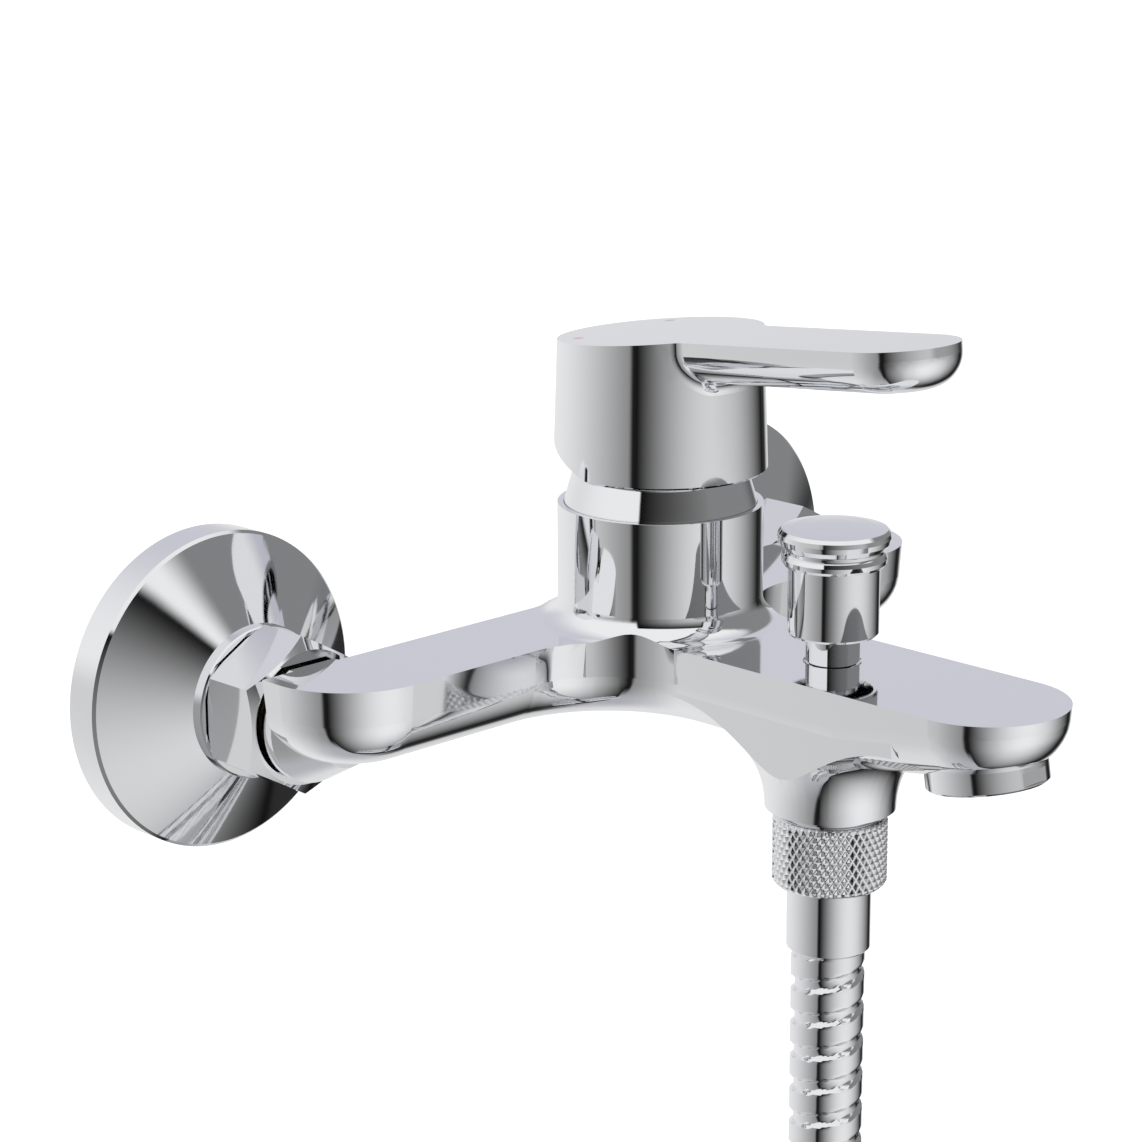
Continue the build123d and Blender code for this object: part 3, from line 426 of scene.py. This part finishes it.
class Maths:
    """Arithmetic on the surround's direction, as nodes."""

    def __init__(self, tree):
        self.tree = tree

    def math(self, what, *values, clamp=False):
        node = self.tree.nodes.new("ShaderNodeMath")
        node.operation = what
        node.use_clamp = clamp
        for socket, value in zip(node.inputs, values):
            if isinstance(value, (int, float)):
                socket.default_value = value
            else:
                self.tree.links.new(value, socket)
        return node.outputs[0]

    def step(self, value, low, high):
        """Smooth 0 to 1 as value goes from low to high."""
        node = self.tree.nodes.new("ShaderNodeMapRange")
        node.interpolation_type = "SMOOTHSTEP"
        self.tree.links.new(value, node.inputs["Value"])
        node.inputs["From Min"].default_value = low
        node.inputs["From Max"].default_value = high
        return node.outputs["Result"]

    def falloff(self, degrees, middle, half):
        """Soft panel across one direction: full at its middle, nothing at its edges."""
        across = self.math("DIVIDE", self.math("SUBTRACT", degrees, middle), half)
        lit = self.math("COSINE", self.math("MULTIPLY", across, math.pi / 2), clamp=True)
        return self.math("POWER", lit, PANEL_SOFTNESS)

    def mix(self, factor, a, b):
        node = self.tree.nodes.new("ShaderNodeMix")
        node.data_type = "RGBA"
        for socket, value in (("Factor", factor), ("A", a), ("B", b)):
            if isinstance(value, (int, float, tuple)):
                node.inputs[socket].default_value = value
            else:
                self.tree.links.new(value, node.inputs[socket])
        return node.outputs["Result"]


def surround():
    """Soft white studio with one large panel that fades out towards its edges."""
    world = bpy.data.worlds.new("surround")
    world.use_nodes = True
    tree = world.node_tree
    m = Maths(tree)
    split = tree.nodes.new("ShaderNodeSeparateXYZ")
    tree.links.new(tree.nodes.new("ShaderNodeTexCoord").outputs["Generated"], split.inputs[0])
    x, y, z = split.outputs
    a = math.radians(AZIMUTH)
    ahead = m.math("ADD", m.math("MULTIPLY", x, math.sin(a)), m.math("MULTIPLY", y, -math.cos(a)))
    right = m.math("ADD", m.math("MULTIPLY", x, math.cos(a)), m.math("MULTIPLY", y, math.sin(a)))
    bearing = m.math("DEGREES", m.math("ARCTAN2", right, ahead))
    height = m.math("DEGREES", m.math("ARCSINE", z))
    # the panel
    panel = m.math("MULTIPLY", m.falloff(bearing, *PANEL_ACROSS), m.falloff(height, *PANEL_UP))
    panel = m.math("MULTIPLY", panel, PANEL_PEAK)
    inside = m.math("MULTIPLY", m.step(bearing, *PANEL_LEFT), m.step(bearing, *PANEL_RIGHT))
    inside = m.math("MULTIPLY", inside, m.step(height, PANEL_TOP + 3, PANEL_TOP - 1))
    # a broad glow behind the camera's left, with a dark border round the panel
    turn = m.math("RADIANS", m.math("SUBTRACT", bearing, GLOW_AT))
    glow = m.math("MULTIPLY_ADD", m.math("COSINE", turn), GLOW_PEAK / 2, GLOW_PEAK / 2)
    border = m.math("MULTIPLY", m.step(bearing, *BORDER_LEFT), m.step(bearing, *BORDER_RIGHT))
    side = m.math("MULTIPLY", glow, m.math("MULTIPLY_ADD", border, BORDER_DARK - 1, 1))
    sky = m.mix(m.step(m.math("ABSOLUTE", bearing), *SKY_TURN), SKY_FRONT, SKY_BACK)
    base = m.mix(m.step(height, *GLOW_TOP), side, sky)
    base = m.mix(m.step(height, *FLOOR_BELOW), base, FLOOR_LIGHT)
    colour = m.mix(inside, base, panel)
    # grey wall behind the right hand side
    wall = m.math("MULTIPLY", m.step(bearing, *WALL_LEFT), m.step(bearing, *WALL_RIGHT))
    wall = m.math("MULTIPLY", wall, m.step(height, *WALL_LOW))
    wall = m.math("MULTIPLY", wall, m.step(height, *WALL_HIGH))
    colour = m.mix(wall, colour, WALL_LIGHT)
    tree.links.new(colour, tree.nodes["Background"].inputs["Color"])
    bpy.context.scene.world = world


def studio():
    """Pale floor, with the light coming from all round."""
    bpy.context.scene.view_settings.view_transform = "Standard"
    floor_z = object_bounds()[0][2] - 0.03
    bm = bmesh.new()
    bmesh.ops.create_grid(bm, x_segments=2, y_segments=2, size=8.0)
    n = Nodes("floor_paint")
    n.set(Roughness=0.9, Emission_Color=(1, 1, 1, 1), Emission_Strength=0.45)
    n.two_tone((0.9, 0.9, 0.9), (0.94, 0.94, 0.94), n.noise(3.0, 2.0))
    floor = new_piece("floor", bm, n.mat)
    floor.location.z = floor_z
    floor.visible_glossy = False
    surround()


add_camera()
MATERIALS = make_materials()
dress_cad(MATERIALS)
hose_piece, hose_line, hose_length = hose(MATERIALS["hose_jacket"])
knurl = knurled_nut(MATERIALS["chrome_trim"])
studio()

bpy.context.view_layer.update()
